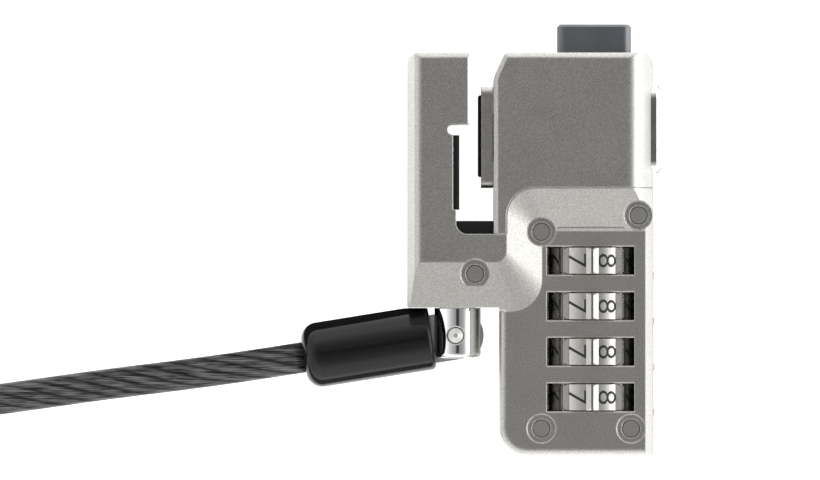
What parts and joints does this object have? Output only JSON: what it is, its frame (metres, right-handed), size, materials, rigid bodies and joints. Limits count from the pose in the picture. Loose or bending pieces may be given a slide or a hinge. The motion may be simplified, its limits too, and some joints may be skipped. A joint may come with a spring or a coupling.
{
  "type": "laptop cable lock",
  "caption": "Wheel combination lock that clamps a computer's kickstand in a slot between a hook arm and a sliding jaw, on a swivelling steel cable with a crimped eye.",
  "frame": {"origin": "middle of the lock head's footprint on the surface that it lies on, without the cable", "axes": "+X from the hook arm to the push button, +Y from the cable end to the release button, +Z out of the front face"},
  "size_m": [0.2766, 0.0969, 0.0216],
  "materials": {
    "zinc_casting": "bead-blasted zinc casting, satin",
    "bright_steel": "plain turned steel",
    "plain_steel": "satin machined steel",
    "black_steel": "black oxide",
    "soft_rubber": "matte black rubber",
    "dark_button": "dark grey anodised, satin",
    "polished_chrome": "polished chrome plating",
    "wheel_metal": "satin metal with black numerals",
    "ring_brass": "turned brass",
    "black_sleeve": "glossy moulded black",
    "sheathed_cable": "twisted steel strands in a smoked clear sheath"
  },
  "bodies": {
    "head": {"front_cover": "zinc_casting", "body_casting": "zinc_casting", "rear_plate": "zinc_casting", "plate_screws": "black_steel", "housing_rivets": "zinc_casting", "arm_pad": "soft_rubber", "floor_pad": "soft_rubber", "detent_spring": "bright_steel", "spindle_spring": "bright_steel", "push_springs": "bright_steel", "pawl_pin": "bright_steel", "pawl_spring": "bright_steel"},
    "release": {"spindle": "bright_steel", "release_button": "dark_button"},
    "clamp": {"clamp_jaw": "zinc_casting", "jaw_pad": "soft_rubber", "push_button": "polished_chrome"},
    "pawl": {"latch_pawl": "plain_steel"},
    "swivel": {"swivel_post": "polished_chrome", "pivot_pin": "bright_steel"},
    "cable_end": {"cable_tongue": "plain_steel", "cable_sleeve": "black_sleeve", "cable_lead": "sheathed_cable", "cable_coil": "sheathed_cable", "cable_tail": "sheathed_cable", "eye_crimp": "plain_steel", "eye_loop": "sheathed_cable"},
    "wheel_1": {"number_wheel_1": "wheel_metal", "code_ring_1": "ring_brass"},
    "wheel_2": {"number_wheel_2": "wheel_metal", "code_ring_2": "ring_brass"},
    "wheel_3": {"number_wheel_3": "wheel_metal", "code_ring_3": "ring_brass"},
    "wheel_4": {"number_wheel_4": "wheel_metal", "code_ring_4": "ring_brass"}
  },
  "joints": [
    {"name": "wheel_1_spin", "type": "hinge", "parent": "head", "child": "wheel_1", "pos_m": [0.0102, -0.0037, 0.0108], "axis": [0, 1, 0], "continuous": true},
    {"name": "wheel_2_spin", "type": "hinge", "parent": "head", "child": "wheel_2", "pos_m": [0.0102, -0.01178, 0.0108], "axis": [0, 1, 0], "continuous": true},
    {"name": "wheel_3_spin", "type": "hinge", "parent": "head", "child": "wheel_3", "pos_m": [0.0102, -0.01986, 0.0108], "axis": [0, 1, 0], "continuous": true},
    {"name": "wheel_4_spin", "type": "hinge", "parent": "head", "child": "wheel_4", "pos_m": [0.0102, -0.02794, 0.0108], "axis": [0, 1, 0], "continuous": true},
    {"name": "release_press", "type": "slide", "parent": "head", "child": "release", "axis": [0, -1, 0], "range_m": [0, 0.0018], "stiffness_N_per_m": 800, "springref_m": -0.002, "deforming": ["spindle_spring"]},
    {"name": "jaw_slide", "type": "slide", "parent": "head", "child": "clamp", "axis": [-1, 0, 0], "range_m": [0, 0.0012], "stiffness_N_per_m": 1200, "springref_m": -0.001, "deforming": ["push_springs"]},
    {"name": "pawl_swing", "type": "hinge", "parent": "head", "child": "pawl", "pos_m": [-0.00365, 0.0113, 0.0108], "axis": [0, 0, -1], "range_deg": [-5.05, 0], "deforming": ["pawl_spring"]},
    {"name": "swivel_spin", "type": "hinge", "parent": "head", "child": "swivel", "pos_m": [-0.01366, -0.01204, 0.0108], "axis": [0, 1, 0], "range_deg": [0, 90]},
    {"name": "cable_pivot", "type": "hinge", "parent": "swivel", "child": "cable_end", "pos_m": [-0.01402, -0.017, 0.0108], "axis": [0, 0, 1], "range_deg": [0, 80]}
  ]
}
